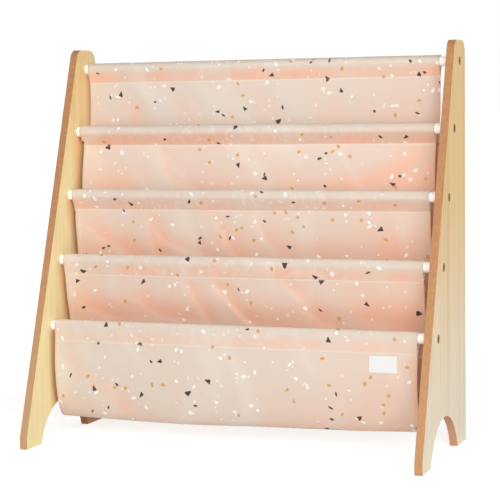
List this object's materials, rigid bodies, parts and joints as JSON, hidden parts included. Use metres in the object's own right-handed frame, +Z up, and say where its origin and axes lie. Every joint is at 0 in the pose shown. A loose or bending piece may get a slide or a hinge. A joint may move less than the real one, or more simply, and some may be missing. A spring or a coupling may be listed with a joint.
{
  "type": "sling bookshelf",
  "caption": "Free-standing children's book rack: two arched side boards joined by rods, with cloth sling pockets stepping down to the front.",
  "frame": {"origin": "on the floor, under the middle of the bounding box", "axes": "+X to the right seen from the front, +Y from the front to the rear, +Z up"},
  "size_m": [0.628, 0.272, 0.61],
  "materials": {
    "board_veneer": "pale veneer with a satin lacquer, tan edges",
    "rod_paint": "gloss white",
    "bolt_bronze": "satin bronze plate",
    "insert_zinc": "zinc plate",
    "sling_cloth": "blush polyester canvas with scattered chips",
    "label_tape": "white woven tape"
  },
  "bodies": {
    "root": {"side_board_left": "board_veneer", "side_board_right": "board_veneer", "rod_1": "rod_paint", "rod_2": "rod_paint", "rod_3": "rod_paint", "rod_4": "rod_paint", "rod_5": "rod_paint", "bolt_left_1": "bolt_bronze", "bolt_left_2": "bolt_bronze", "bolt_left_3": "bolt_bronze", "bolt_left_4": "bolt_bronze", "bolt_left_5": "bolt_bronze", "bolt_right_1": "bolt_bronze", "bolt_right_2": "bolt_bronze", "bolt_right_3": "bolt_bronze", "bolt_right_4": "bolt_bronze", "bolt_right_5": "bolt_bronze", "insert_left_1": "insert_zinc", "insert_left_2": "insert_zinc", "insert_left_3": "insert_zinc", "insert_left_4": "insert_zinc", "insert_left_5": "insert_zinc", "insert_right_1": "insert_zinc", "insert_right_2": "insert_zinc", "insert_right_3": "insert_zinc", "insert_right_4": "insert_zinc", "insert_right_5": "insert_zinc", "sling_1": "sling_cloth", "sling_2": "sling_cloth", "sling_3": "sling_cloth", "sling_4": "sling_cloth", "blank_label": "label_tape"}
  },
  "joints": []
}
